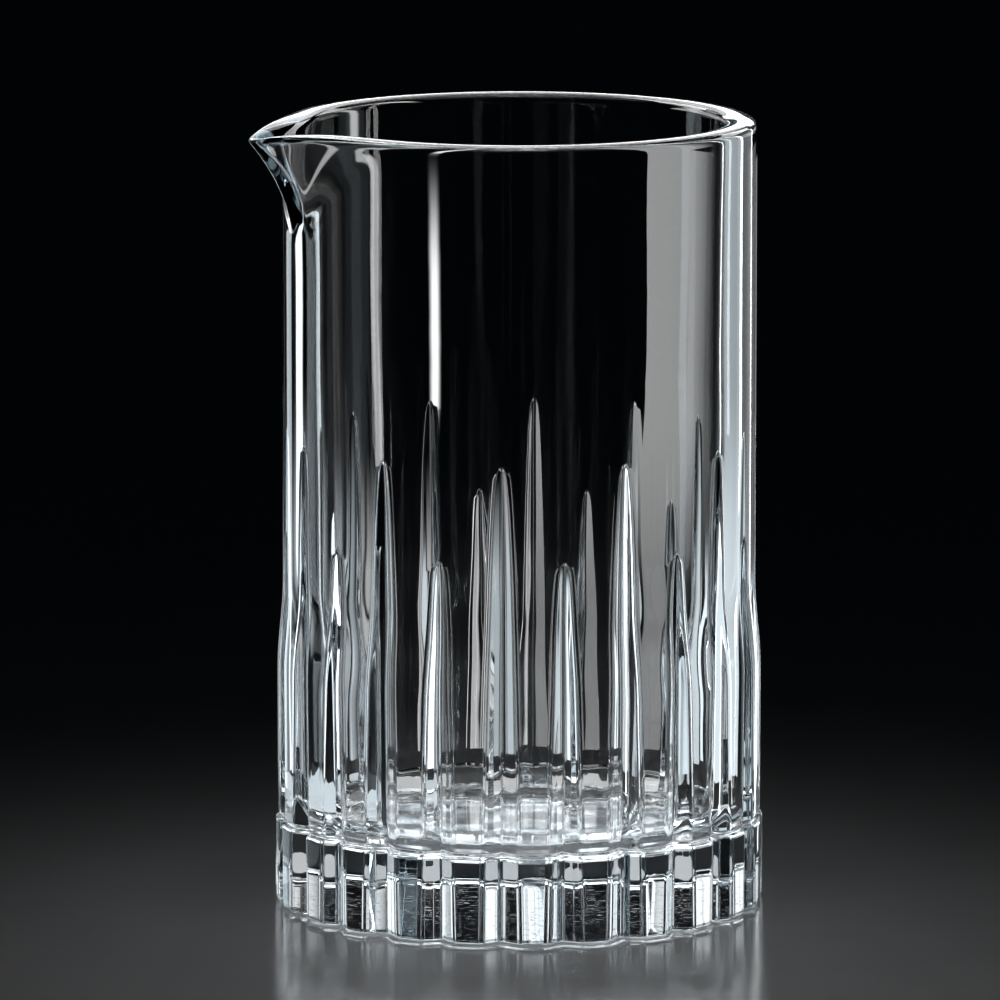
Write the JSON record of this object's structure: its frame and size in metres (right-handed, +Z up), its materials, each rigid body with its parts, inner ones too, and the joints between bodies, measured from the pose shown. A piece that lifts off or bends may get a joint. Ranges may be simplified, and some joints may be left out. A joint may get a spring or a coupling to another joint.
{
  "type": "mixing glass",
  "caption": "Clear cylindrical mixing glass with a thick base, a pointed pouring spout and upright V cuts, alternately tall and short, around its lower wall.",
  "frame": {"origin": "centre of the flat foot, on the surface that the glass stands on", "axes": "+Z up the axis of the glass towards the rim, -X towards the tip of the pouring spout"},
  "size_m": [0.1, 0.0932, 0.15],
  "materials": {
    "clear_glass": "polished clear glass with a faint cool tint"
  },
  "bodies": {
    "root": {"mixing_glass": "clear_glass"}
  },
  "joints": []
}
